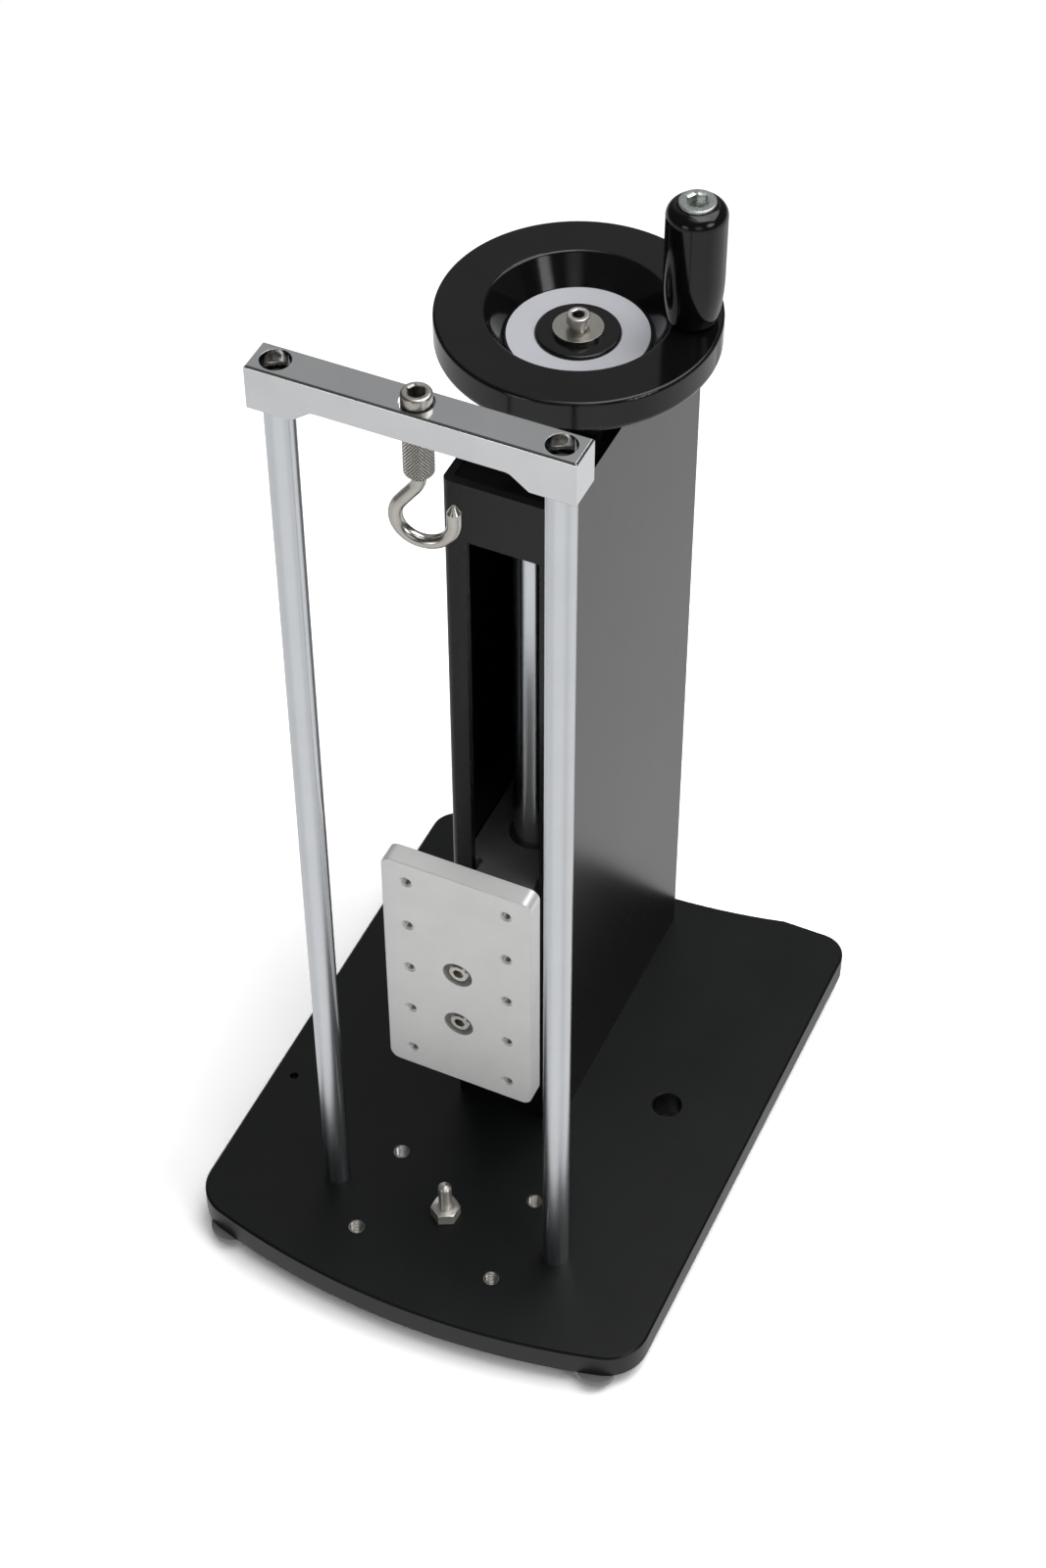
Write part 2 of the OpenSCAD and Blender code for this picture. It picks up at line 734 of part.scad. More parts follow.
module crossbar() {
    color("#cfd1d4") difference() {
        translate([0, stud_y + bar_d / 2, bar_foot]) rotate([90, 0, 0])
            linear_extrude(bar_d) bar_profile();
        for (turn = [0, 180]) translate([0, stud_y, bar_top]) rotate(turn) {
            translate([0, bar_d / 2, 0]) line_bevel(bar_l + 2 * cut, bar_bevel);
            translate([bar_l / 2, 0, 0]) rotate(-90) line_bevel(bar_d + 2 * cut, bar_bevel);
        }
        rod_places() {
            translate([0, 0, bar_top - rod_sink_h]) cylinder(d = rod_sink_d, h = rod_sink_h + cut);
            translate([0, 0, bar_foot - cut]) cylinder(d = rod_screw_d * clear_share, h = bar_h);
        }
        translate([0, stud_y, bar_top - hook_sink_h]) cylinder(d = hook_sink_d, h = hook_sink_h + cut);
        translate([0, stud_y, span_foot - cut])
            cylinder(d = hook_screw_d + 2 * run_gap, h = bar_h);
    }
}

module rod_top_screws() {
    color("#a2a4a6") rod_places() translate([0, 0, bar_top - rod_sink_h])
        standard_screw(rod_screw_d, bar_h - rod_sink_h + rod_screw_grip);
}

module hook_screw() {
    grip = bar_h - bar_relief - hook_sink_h + hook_screw_reach;
    color("#b9b5ab") translate([0, stud_y, bar_top - hook_sink_h + hook_play])
        cap_screw(hook_screw_d, grip, hook_head_d, hook_head_h, hook_screw_d * hex_share);
}

module hook_barrel() {
    color("#aaa69c") translate([0, stud_y, barrel_foot]) difference() {
        union() {
            translate([0, 0, barrel_bevel])
                cylinder(d = barrel_d, h = barrel_top - barrel_foot - barrel_bevel);
            cylinder(d1 = barrel_d - 2 * barrel_bevel, d2 = barrel_d, h = barrel_bevel);
        }
        translate([0, 0, barrel_top - barrel_foot])
            tapped_hole(hook_screw_d, hook_screw_reach + hook_play);
        rotate([180, 0, 0]) tapped_hole(hook_wire_d, hook_shank_h);
    }
}

// The hook is drawn in a plane whose second axis is upright, then stood up and turned
module hook_wire() {
    ball_d = hook_wire_d * hook_ball_share;
    color("#b7b3a8") translate([0, stud_y, 0]) rotate([90, 0, hook_turn]) {
        translate([0, hook_bend_z, 0]) rotate([-90, 0, 0])
            cylinder(d = hook_wire_d, h = barrel_foot + hook_shank_h - hook_bend_z);
        translate([-hook_neck_r, hook_bend_z, 0]) hook_bend(hook_neck_r, hook_lean);
        translate([hook_slope_x, hook_slope_z, 0]) rotate(-hook_lean) rotate([90, 0, 0]) {
            cylinder(d = hook_wire_d, h = hook_slope_l);
            for (z = [0, hook_slope_l]) translate([0, 0, z]) sphere(d = ball_d);
        }
        translate([hook_mid_x, hook_mid_z, 0]) {
            hook_bend(hook_r, 180 + hook_lean);
            translate([hook_r, 0, 0]) rotate([-90, 0, 0]) {
                cylinder(d = hook_wire_d, h = hook_tip_h - hook_taper_h);
                translate([0, 0, hook_tip_h - hook_taper_h]) cylinder(
                    d1 = hook_wire_d,
                    d2 = hook_wire_d * hook_blunt_share,
                    h = hook_taper_h
                );
            }
        }
    }
}

// Bend of the wire that starts at the right and turns clockwise
module hook_bend(r, turn) {
    mirror([0, 1, 0]) rotate_extrude(angle = turn) translate([r, 0]) circle(d = hook_wire_d);
}

module column_tube() {
    color("#2b2c2c") difference() {
        translate([0, screw_y, base_top]) linear_extrude(column_h) difference() {
            rounded_rect(column_w, column_d, column_edge_r);
            rounded_rect(column_inner_w, column_inner_d, column_inner_r);
        }
        translate([-slot_w / 2, column_front - cut, base_top + slot_foot])
            cube([slot_w, column_wall + 2 * cut, column_h - slot_drop - slot_foot]);
        rear_screw_places() translate([0, 0, -column_wall - cut])
            cylinder(d = rear_screw_d * clear_share, h = column_wall + 2 * cut);
    }
}

module column_plinth() {
    color("#3a3c3e") difference() {
        translate([0, screw_y, base_top]) linear_extrude(plinth_h)
            rounded_rect(column_inner_w - 2 * slip, column_inner_d - 2 * slip, column_inner_r);
        column_screw_places() translate([0, 0, base_top]) rotate([180, 0, 0])
            tapped_hole(column_screw_d, column_screw_grip);
        translate([0, guide_y, plinth_top]) tapped_hole(guide_d, guide_seat_h);
        translate([0, guide_y, base_top - cut])
            cylinder(d = guide_screw_d * clear_share, h = plinth_h);
        translate([0, screw_y, plinth_top]) tapped_hole(bearing_d, bearing_w);
        translate([0, screw_y, lower_bearing_z - bearing_w / 2])
            cylinder(d = race_d, h = bearing_w);
        rear_screw_places() tapped_hole(rear_screw_d, rear_screw_l);
    }
}

module column_cap() {
    color("#1d1e1f") difference() {
        translate([0, screw_y, cap_foot]) linear_extrude(cap_t)
            rounded_rect(column_inner_w - 2 * slip, column_inner_d - 2 * slip, column_inner_r);
        translate([0, screw_y, cap_foot - cut]) cylinder(d = screw_clear_d, h = cap_t + 2 * cut);
        translate([0, guide_y, cap_foot]) rotate([180, 0, 0])
            tapped_hole(guide_d, guide_cap_seat_h);
        housing_screw_places() tapped_hole(housing_screw_d, cap_t + cut);
        rear_screw_places() tapped_hole(rear_screw_d, rear_screw_l);
    }
}

module column_screws() {
    color("#8d8f92") column_screw_places() translate([0, 0, foot_h + column_seat_h])
        rotate([180, 0, 0])
            standard_screw(column_screw_d, base_t - column_seat_h + column_screw_grip);
}

// Low round heads behind the column
module column_rear_screws() {
    head_d = rear_screw_d * head_share * sink_share;
    color("#3c3d3f") rear_screw_places()
        cap_screw(rear_screw_d, rear_screw_l, head_d, rear_screw_d / 2, rear_screw_d / 2);
}

module guide_shaft() {
    color("#dfe1e4") translate([0, guide_y, guide_foot]) difference() {
        cylinder(d = guide_d, h = cap_foot + guide_cap_seat_h - guide_foot);
        rotate([180, 0, 0]) tapped_hole(guide_screw_d, guide_tap_h);
    }
}

module guide_shaft_screw() {
    grip = base_t - guide_sink_h + guide_foot - base_top + guide_tap_h * 0.8;
    color("#8d8f92") translate([0, guide_y, foot_h + guide_sink_h]) rotate([180, 0, 0])
        standard_screw(guide_screw_d, grip);
}

module bearing_housing() {
    color("#4b4d50") difference() {
        translate([0, screw_y, cap_top]) {
            linear_extrude(housing_flange_h)
                rounded_rect(housing_flange_w, housing_flange_d, housing_flange_h);
            cylinder(d = housing_d, h = housing_h);
        }
        translate([0, screw_y, cap_top - cut]) cylinder(d = screw_clear_d, h = housing_h);
        translate([0, screw_y, upper_bearing_z])
            cylinder(d = bearing_d + 2 * slip, h = bearing_w + bearing_inset + cut);
        housing_screw_places() translate([0, 0, -cut])
            cylinder(d = housing_screw_d * clear_share, h = housing_flange_h + 2 * cut);
    }
}

module housing_screws() {
    color("#8d8f92") housing_screw_places() translate([0, 0, housing_flange_h])
        standard_screw(housing_screw_d, housing_flange_h + cap_t / 2);
}

// Outer ring of a ball bearing with its shields
module upper_bearing() {
    color("#b8babd") translate([0, screw_y, upper_bearing_z])
        ring(bearing_d, race_d + 2 * race_gap, bearing_w);
}

module upper_bearing_race() {
    color("#b8babd") translate([0, screw_y, upper_bearing_z])
        ring(race_d, journal_d + 2 * slip, bearing_w);
}

module lower_bearing() {
    color("#b8babd") translate([0, screw_y, lower_bearing_z])
        ring(bearing_d, race_d + 2 * race_gap, bearing_w);
}

module lower_bearing_race() {
    color("#b8babd") translate([0, screw_y, lower_bearing_z])
        ring(race_d, journal_d + 2 * slip, bearing_w);
}

// The key, square in section, half sunk into the lead screw
module key_shape(grow) {
    side = key_w + 2 * grow;
    translate([-side / 2, screw_y + journal_d / 2 - side / 2, key_foot]) cube([side, side, key_l]);
}

module lead_screw() {
    foot = lower_bearing_z - bearing_w / 4;
    color("#9d9fa1") difference() {
        translate([0, screw_y, 0]) {
            translate([0, 0, foot]) cylinder(d = journal_d, h = lead_screw_top - foot);
            translate([0, 0, plinth_top]) cylinder(d = screw_d, h = upper_bearing_z - plinth_top);
        }
        translate([0, screw_y, lead_screw_top]) tapped_hole(hub_screw_d, hub_screw_l);
        key_shape(slip);
    }
}

module spacer_sleeve() {
    color("#9d9fa1") translate([0, screw_y, upper_bearing_top])
        ring(race_d, journal_d + 2 * slip, wheel_hub_foot - upper_bearing_top);
}

module wheel_key() {
    color("#8d8f92") key_shape(0);
}

// Half section of the handwheel, with its axis at x = 0 and real heights
module wheel_profile() {
    rim_r = wheel_d / 2;
    dish_r = dish_d / 2;
    floor_r = dish_floor_d / 2;
    bore_r = journal_d / 2 + slip;
    web_foot = dish_floor - web_t;
    rim_inner_r = dish_r + rim_h / 8;
    difference() {
        polygon([
            [bore_r, wheel_hub_foot],
            [wheel_hub_d / 2, wheel_hub_foot],
            [wheel_hub_d / 2, web_foot],
            [floor_r, web_foot],
            [rim_inner_r, rim_foot],
            [rim_r, rim_foot],
            [rim_r, rim_top],
            [dish_r, rim_top],
            [floor_r, dish_floor],
            [boss_d / 2, dish_floor],
            [boss_d / 2, boss_top],
            [bore_r, boss_top]
        ]);
        corner([rim_r, rim_foot], [rim_inner_r, rim_foot], [rim_r, rim_top], rim_foot_r);
        corner([rim_r, rim_top], [rim_r, rim_foot], [dish_r, rim_top], rim_edge_r);
        corner([dish_r, rim_top], [rim_r, rim_top], [floor_r, dish_floor], rim_edge_r);
        corner([boss_d / 2, boss_top], [boss_d / 2, dish_floor], [bore_r, boss_top], boss_h / 2);
    }
}

module handwheel() {
    color("#17191a") difference() {
        translate([0, screw_y, 0]) rotate_extrude($fn = 128) wheel_profile();
        key_shape(slip);
        translate([0, 0, wheel_hub_foot - cut - key_foot]) key_shape(slip);
        translate([handle_x, handle_y, rim_top]) tapped_hole(axle_thread_d, axle_thread_h);
    }
}

module dial_ring() {
    color("#d5d7db") translate([0, screw_y, dish_floor])
        ring(dial_d, boss_d + 4 * slip, dial_t, $fn = 128);
}

module hub_washer() {
    color("#b7b3a8") translate([0, screw_y, boss_top])
        ring(hub_washer_d, hub_screw_d * clear_share, hub_washer_t);
}

module hub_screw() {
    color("#b7b3a8") translate([0, screw_y, boss_top + hub_washer_t]) {
        cylinder(d = hub_collar_d, h = hub_collar_h);
        translate([0, 0, hub_collar_h])
            cap_screw(hub_screw_d, hub_screw_l, hub_head_d, hub_head_h, hub_screw_d * hex_share);
    }
}

module handle_axle() {
    bevel = axle_head_h * head_bevel_share;
    shaft_h = grip_gap + grip_h + axle_head_rise - axle_head_h;
    color("#c3c9c6") translate([handle_x, handle_y, rim_top]) difference() {
        union() {
            translate([0, 0, -axle_thread_h]) cylinder(d = axle_thread_d, h = axle_thread_h);
            cylinder(d = axle_d, h = shaft_h);
            translate([0, 0, shaft_h]) {
                cylinder(d = axle_head_d, h = axle_head_h - bevel);
                translate([0, 0, axle_head_h - bevel])
                    cylinder(d1 = axle_head_d, d2 = axle_head_d - 2 * bevel, h = bevel);
            }
        }
        translate([0, 0, shaft_h + axle_head_h * (1 - socket_share)])
            cylinder(d = axle_hex / cos(30), h = axle_head_h, $fn = 6);
    }
}

// Half section of the grip, with its foot at y = 0
module grip_profile() {
    grip_r = grip_d / 2;
    foot_r = grip_foot_d / 2;
    foot_cut = grip_r - foot_r;
    foot_bevel = foot_cut / 2;
    taper_r = (pow(grip_taper_h, 2) + pow(foot_cut, 2)) / (2 * foot_cut);
    difference() {
        union() {
            intersection() {
                square([grip_r, grip_taper_h]);
                translate([grip_r - taper_r, grip_taper_h]) circle(taper_r, $fn = 256);
            }
            translate([0, grip_taper_h]) square([grip_r, grip_h - grip_taper_h]);
        }
        square([axle_d / 2 + run_gap, grip_h]);
        translate([0, grip_h - axle_sink_h]) square([axle_head_d / 2 + grip_gap, axle_sink_h + cut]);
        corner([grip_r, grip_h], [0, grip_h], [grip_r, 0], grip_shoulder_r);
        polygon([
            [foot_r - foot_bevel - cut, -cut],
            [foot_r + cut, -cut],
            [foot_r + cut, foot_bevel + cut]
        ]);
    }
}

module handle_grip() {
    color("#121314") translate([handle_x, handle_y, grip_foot]) rotate_extrude($fn = 96)
        grip_profile();
}

module carriage_block() {
    relief_x = neck_w / 2 + neck_relief_r * 0.8;
    color("#4f5152") difference() {
        union() {
            translate([0, (block_front + block_rear) / 2, block_z]) linear_extrude(block_h)
                rounded_rect(block_w, block_rear - block_front, column_inner_r);
            translate([-neck_w / 2, plate_rear, block_z])
                cube([neck_w, block_front - plate_rear + cut, block_h]);
        }
        for (x = [-relief_x, relief_x])
            translate([x, block_front, block_z - cut])
                cylinder(r = neck_relief_r, h = block_h + 2 * cut);
        translate([0, guide_y, block_z]) {
            translate([0, 0, -cut]) cylinder(d = guide_d + 4 * tube_gap, h = block_h + 2 * cut);
            translate([0, 0, block_h]) tapped_hole(bushing_d, bushing_h);
            rotate([180, 0, 0]) tapped_hole(bushing_d, bushing_h);
        }
        translate([0, screw_y, block_z]) {
            translate([0, 0, -cut]) cylinder(d = screw_clear_d, h = block_h + 2 * cut);
            rotate([180, 0, 0]) tapped_hole(nut_d, nut_h);
        }
        nut_screw_places() rotate([180, 0, 0]) tapped_hole(nut_screw_d, nut_screw_grip);
        plate_screw_places() translate([0, 0, -plate_t])
            tapped_hole(plate_screw_d, plate_screw_grip);
    }
}

module guide_bushings() {
    color("#26282a") for (z = [0, block_h - bushing_h])
        translate([0, guide_y, block_z + z]) ring(bushing_d, guide_d + 2 * run_gap, bushing_h);
}

module lead_nut() {
    color("#a8823f") difference() {
        translate([0, screw_y, block_z]) {
            cylinder(d = nut_d, h = nut_h);
            translate([0, 0, -nut_flange_h]) cylinder(d = nut_flange_d, h = nut_flange_h);
        }
        translate([0, screw_y, block_z - nut_flange_h - cut])
            cylinder(d = screw_d + 2 * run_gap, h = nut_h + nut_flange_h + 2 * cut);
        nut_screw_places() translate([0, 0, -nut_flange_h - cut])
            cylinder(d = nut_screw_d * clear_share, h = nut_flange_h + 2 * cut);
    }
}

module lead_nut_screws() {
    color("#8d8f92") nut_screw_places() translate([0, 0, -nut_flange_h]) rotate([180, 0, 0])
        standard_screw(nut_screw_d, nut_flange_h + nut_screw_grip * 0.9);
}

module carriage_plate() {
    tap_bevel = tap_d / 8;
    color("#c9cac8") difference() {
        translate([0, plate_front, block_mid + plate_screw_drop]) rotate([90, 0, 0])
            difference() {
                translate([0, 0, -plate_t]) linear_extrude(plate_t)
                    rounded_rect(plate_w, plate_h, plate_corner_r);
                rect_bevel(plate_w, plate_h, plate_corner_r, plate_bevel);
                for (x = [-1, 1], row = [0:tap_rows - 1])
                    translate([x * tap_dx / 2, (row - (tap_rows - 1) / 2) * tap_dz, 0]) {
                        translate([0, 0, -plate_t - cut]) cylinder(d = tap_d, h = plate_t + 2 * cut);
                        translate([0, 0, -tap_bevel])
                            cylinder(d1 = tap_d, d2 = tap_d + 4 * tap_bevel, h = 2 * tap_bevel);
                    }
            }
        plate_screw_places() {
            translate([0, 0, -plate_sink_h]) cylinder(d = plate_sink_d, h = plate_sink_h + cut);
            translate([0, 0, -plate_t - cut])
                cylinder(d = plate_screw_d * clear_share, h = plate_t + cut);
        }
    }
}

module plate_screws() {
    grip = plate_t - plate_sink_h + plate_screw_grip * 0.9;
    color("#a9a8a2") plate_screw_places() translate([0, 0, -plate_sink_h])
        cap_screw(plate_screw_d, grip, plate_head_d, plate_head_h, plate_screw_d * hex_share);
}

base_plate();
feet();
foot_screws();
thread_inserts();
centre_stud();
stud_nut();
left_rod();
right_rod();
rod_foot_screws();
crossbar();
rod_top_screws();
hook_screw();
hook_barrel();
hook_wire();
column_tube();
column_plinth();
column_cap();
column_screws();
column_rear_screws();
guide_shaft();
guide_shaft_screw();
bearing_housing();
housing_screws();
upper_bearing();
upper_bearing_race();
lower_bearing();
lower_bearing_race();
lead_screw();
spacer_sleeve();
wheel_key();
carriage_block();
guide_bushings();
lead_nut();
lead_nut_screws();
carriage_plate();
plate_screws();
handwheel();
dial_ring();
hub_washer();
hub_screw();
handle_axle();
handle_grip();
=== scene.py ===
import json
import math

import bmesh
import bpy
from mathutils import Matrix, Vector


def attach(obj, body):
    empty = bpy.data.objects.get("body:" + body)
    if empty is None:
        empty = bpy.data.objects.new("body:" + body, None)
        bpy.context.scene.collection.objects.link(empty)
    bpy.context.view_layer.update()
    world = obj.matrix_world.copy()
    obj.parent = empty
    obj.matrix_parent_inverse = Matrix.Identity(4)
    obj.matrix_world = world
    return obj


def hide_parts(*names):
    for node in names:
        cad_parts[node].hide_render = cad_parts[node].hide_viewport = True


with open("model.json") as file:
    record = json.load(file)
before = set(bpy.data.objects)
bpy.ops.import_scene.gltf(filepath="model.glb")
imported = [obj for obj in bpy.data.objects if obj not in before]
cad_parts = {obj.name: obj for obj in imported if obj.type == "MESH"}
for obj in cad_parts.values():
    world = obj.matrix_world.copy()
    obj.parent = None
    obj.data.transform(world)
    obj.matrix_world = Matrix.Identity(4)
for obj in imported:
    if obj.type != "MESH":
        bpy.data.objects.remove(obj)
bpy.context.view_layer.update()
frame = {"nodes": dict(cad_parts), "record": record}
MM = 0.001

# Upright axes of the hook, of the lead screw and handwheel, and of the handle, in millimetres
HOOK_AXIS = (0, -95)
SCREW_AXIS = (0, 56.5)
HANDLE_AXIS = (45.976, 70.293)


# Camera and stage

# Where the photograph was taken from, in degrees and metres
AZIMUTH = math.radians(26.63)
ELEVATION = math.radians(48.39)
ROLL = math.radians(-1.59)
LOOK_AT = Vector((-21.66, -29.36, 205.0)) * MM
DISTANCE = 1507.74 * MM
IMAGE_W = 1067
IMAGE_H = 1600
# Focal length and principal point, in pixels of the photograph
FOCAL_PX = 3264.39
CENTRE_PX = (465.52, 889.08)
SENSOR = 36.0


def add_camera():
    back = Vector((
        math.sin(AZIMUTH) * math.cos(ELEVATION),
        -math.cos(AZIMUTH) * math.cos(ELEVATION),
        math.sin(ELEVATION),
    ))
    level_right = (-back).cross(Vector((0, 0, 1))).normalized()
    level_up = back.cross(level_right)
    right = math.cos(ROLL) * level_right + math.sin(ROLL) * level_up
    up = math.cos(ROLL) * level_up - math.sin(ROLL) * level_right
    data = bpy.data.cameras.new("camera")
    data.sensor_fit = "VERTICAL"
    data.sensor_height = SENSOR
    data.lens = FOCAL_PX / IMAGE_H * SENSOR
    data.shift_x = (IMAGE_W / 2 - CENTRE_PX[0]) / IMAGE_H
    data.shift_y = (CENTRE_PX[1] - IMAGE_H / 2) / IMAGE_H
    data.clip_start = 0.05
    data.clip_end = 50
    camera = bpy.data.objects.new("camera", data)
    turn = Matrix((right, up, back)).transposed().to_4x4()
    camera.matrix_world = Matrix.Translation(LOOK_AT + back * DISTANCE) @ turn
    bpy.context.scene.collection.objects.link(camera)
    bpy.context.scene.camera = camera


def add_softbox(name, place, target, side, watts):
    """A square soft light that looks at a target"""
    data = bpy.data.lights.new(name, "AREA")
    data.shape = "RECTANGLE"
    data.size = side
    data.size_y = side
    data.energy = watts
    light = bpy.data.objects.new(name, data)
    light.location = place
    aim = Vector(target) - Vector(place)
    light.rotation_euler = aim.to_track_quat("-Z", "Y").to_euler()
    bpy.context.scene.collection.objects.link(light)


# Colour of the floor as light meets it and as the camera sees it
FLOOR_ALBEDO = 0.86
FLOOR_CAMERA_COLOUR = 1.85
FLOOR_SIZE = 12.0
# Half width and half depth of the floor under the base, which nothing brightens
UNDER_BASE = (0.096, 0.112)
# Distances from the stand between which the floor turns into the white background
FAR_FLOOR = (0.35, 0.95)


def flat_diffuse(tree, level):
    node = tree.nodes.new("ShaderNodeBsdfDiffuse")
    node.inputs["Color"].default_value = (level, level, level, 1)
    return node.outputs[0]


def mix_shaders(tree, share, low, high):
    node = tree.nodes.new("ShaderNodeMixShader")
    tree.links.new(share, node.inputs["Fac"])
    tree.links.new(low, node.inputs[1])
    tree.links.new(high, node.inputs[2])
    return node.outputs[0]


def combine(tree, operation, first, second):
    node = tree.nodes.new("ShaderNodeMath")
    node.operation = operation
    for socket, value in zip(node.inputs, (first, second)):
        if isinstance(value, (int, float)):
            socket.default_value = value
        else:
            tree.links.new(value, socket)
    return node.outputs[0]


def beside_base(tree):
    """1 on the open floor and 0 under the base"""
    place = tree.nodes.new("ShaderNodeTexCoord").outputs["Object"]
    axes = tree.nodes.new("ShaderNodeSeparateXYZ")
    tree.links.new(place, axes.inputs[0])
    sides = []
    for axis, half in zip("XY", UNDER_BASE):
        far = combine(tree, "ABSOLUTE", axes.outputs[axis], 0.0)
        sides.append(combine(tree, "GREATER_THAN", far, half))
    return combine(tree, "MAXIMUM", *sides)


def far_from_base(tree):
    """0 round the stand, rising to 1 where the floor turns into the white background"""
    place = tree.nodes.new("ShaderNodeTexCoord").outputs["Object"]
    reach = tree.nodes.new("ShaderNodeVectorMath")
    reach.operation = "LENGTH"
    tree.links.new(place, reach.inputs[0])
    rise = tree.nodes.new("ShaderNodeMapRange")
    rise.interpolation_type = "SMOOTHSTEP"
    rise.inputs["From Min"].default_value = FAR_FLOOR[0]
    rise.inputs["From Max"].default_value = FAR_FLOOR[1]
    tree.links.new(reach.outputs["Value"], rise.inputs["Value"])
    return rise.outputs["Result"]


def add_floor():
    mesh = bpy.data.meshes.new("floor")
    half = FLOOR_SIZE / 2
    corners = [(-half, -half, 0), (half, -half, 0), (half, half, 0), (-half, half, 0)]
    mesh.from_pydata(corners, [], [(0, 1, 2, 3)])
    floor = bpy.data.objects.new("floor", mesh)
    bpy.context.scene.collection.objects.link(floor)
    mat = bpy.data.materials.new("floor_white")
    mat.use_nodes = True
    tree = mat.node_tree
    tree.nodes.clear()
    out = tree.nodes.new("ShaderNodeOutputMaterial")
    path = tree.nodes.new("ShaderNodeLightPath")
    open_floor = beside_base(tree)
    lit = flat_diffuse(tree, FLOOR_ALBEDO)
    seen = flat_diffuse(tree, FLOOR_CAMERA_COLOUR)
    clear = tree.nodes.new("ShaderNodeBsdfTransparent").outputs[0]
    seen_open = combine(tree, "MULTIPLY", path.outputs["Is Camera Ray"], open_floor)
    mirrored_open = combine(tree, "MULTIPLY", path.outputs["Is Glossy Ray"], open_floor)
    white = tree.nodes.new("ShaderNodeEmission").outputs[0]
    seen_far = combine(tree, "MULTIPLY", path.outputs["Is Camera Ray"], far_from_base(tree))
    whole = mix_shaders(tree, seen_open, lit, seen)
    whole = mix_shaders(tree, seen_far, whole, white)
    whole = mix_shaders(tree, mirrored_open, whole, clear)
    tree.links.new(whole, out.inputs["Surface"])
    mesh.materials.append(mat)


# Soft lights of the studio: direction, cosine where it starts, cosine where it is full, strength
STUDIO_BASE = 0.10
STUDIO_LOBES = [
    ((0.15, -0.10, 1.0), 0.88, 0.985, 1.7),
    ((-0.35, 0.68, 0.64), 0.74, 0.92, 0.36),
    ((0.86, -0.27, 0.38), 0.965, 0.992, 4.6),
    ((-0.30, -0.94, 0.08), 0.976, 0.994, 4.0),
    ((0.47, -0.85, 0.26), 0.955, 0.995, 1.2),
]
# The white floor as metal mirrors it: level, and stretches by compass direction that are
# brighter, or darker where the strength is negative
FLOOR_MIRRORED = 0.90
FLOOR_LOBES = [
    ((0.26, -0.97, 0), 0.55, 0.98, 0.17),
    ((0.64, 0.77, 0), 0.40, 0.90, 0.14),
    ((0.10, 0.99, 0), 0.982, 0.998, -0.45),
]
# Heights of a direction between which the mirrored floor gives way to the studio
HORIZON = (-0.32, -0.05)
# The lamp over the stand: place and side in metres, and watts
KEY_PLACE = (0.50, 0.40, 1.85)
KEY_TARGET = (0, 0, 0.2)
KEY_SIDE = 1.4
KEY_WATTS = 20


def soft_light(tree, view, axis, start, full, strength):
    dot = tree.nodes.new("ShaderNodeVectorMath")
    dot.operation = "DOT_PRODUCT"
    dot.inputs[1].default_value = Vector(axis).normalized()
    tree.links.new(view, dot.inputs[0])
    lobe = tree.nodes.new("ShaderNodeMapRange")
    lobe.interpolation_type = "SMOOTHSTEP"
    lobe.inputs["From Min"].default_value = start
    lobe.inputs["From Max"].default_value = full
    lobe.inputs["To Min"].default_value = 0
    lobe.inputs["To Max"].default_value = strength
    tree.links.new(dot.outputs["Value"], lobe.inputs["Value"])
    return lobe.outputs["Result"]


def add_world():
    world = bpy.data.worlds.new("studio")
    bpy.context.scene.world = world
    world.use_nodes = True
    tree = world.node_tree
    tree.nodes.clear()
    out = tree.nodes.new("ShaderNodeOutputWorld")
    view = tree.nodes.new("ShaderNodeTexCoord").outputs["Generated"]
    level = tree.nodes.new("ShaderNodeVectorMath")
    level.operation = "MULTIPLY"
    level.inputs[1].default_value = (1, 1, 0)
    tree.links.new(view, level.inputs[0])
    compass = tree.nodes.new("ShaderNodeVectorMath")
    compass.operation = "NORMALIZE"
    tree.links.new(level.outputs[0], compass.inputs[0])
    above = STUDIO_BASE
    for row in STUDIO_LOBES:
        above = combine(tree, "ADD", soft_light(tree, view, *row), above)
    below = FLOOR_MIRRORED
    for row in FLOOR_LOBES:
        below = combine(tree, "ADD", soft_light(tree, compass.outputs[0], *row), below)
    sky = tree.nodes.new("ShaderNodeBackground")
    tree.links.new(above, sky.inputs["Strength"])
    ground = tree.nodes.new("ShaderNodeBackground")
    tree.links.new(below, ground.inputs["Strength"])
    white = tree.nodes.new("ShaderNodeBackground")
    white.inputs["Color"].default_value = (1.0, 1.0, 1.0, 1)
    path = tree.nodes.new("ShaderNodeLightPath")
    high = soft_light(tree, view, (0, 0, 1), *HORIZON, 1.0)
    room = mix_shaders(tree, high, ground.outputs[0], sky.outputs[0])
    whole = mix_shaders(tree, path.outputs["Is Camera Ray"], room, white.outputs[0])
    tree.links.new(whole, out.inputs["Surface"])


def add_lights():
    add_softbox("key_overhead", KEY_PLACE, KEY_TARGET, KEY_SIDE, KEY_WATTS)


# Materials

# A face looks sideways where its normal has more than this share to the left or right. On the
# column such faces get painted sheen.
SIDEWAYS = 0.7


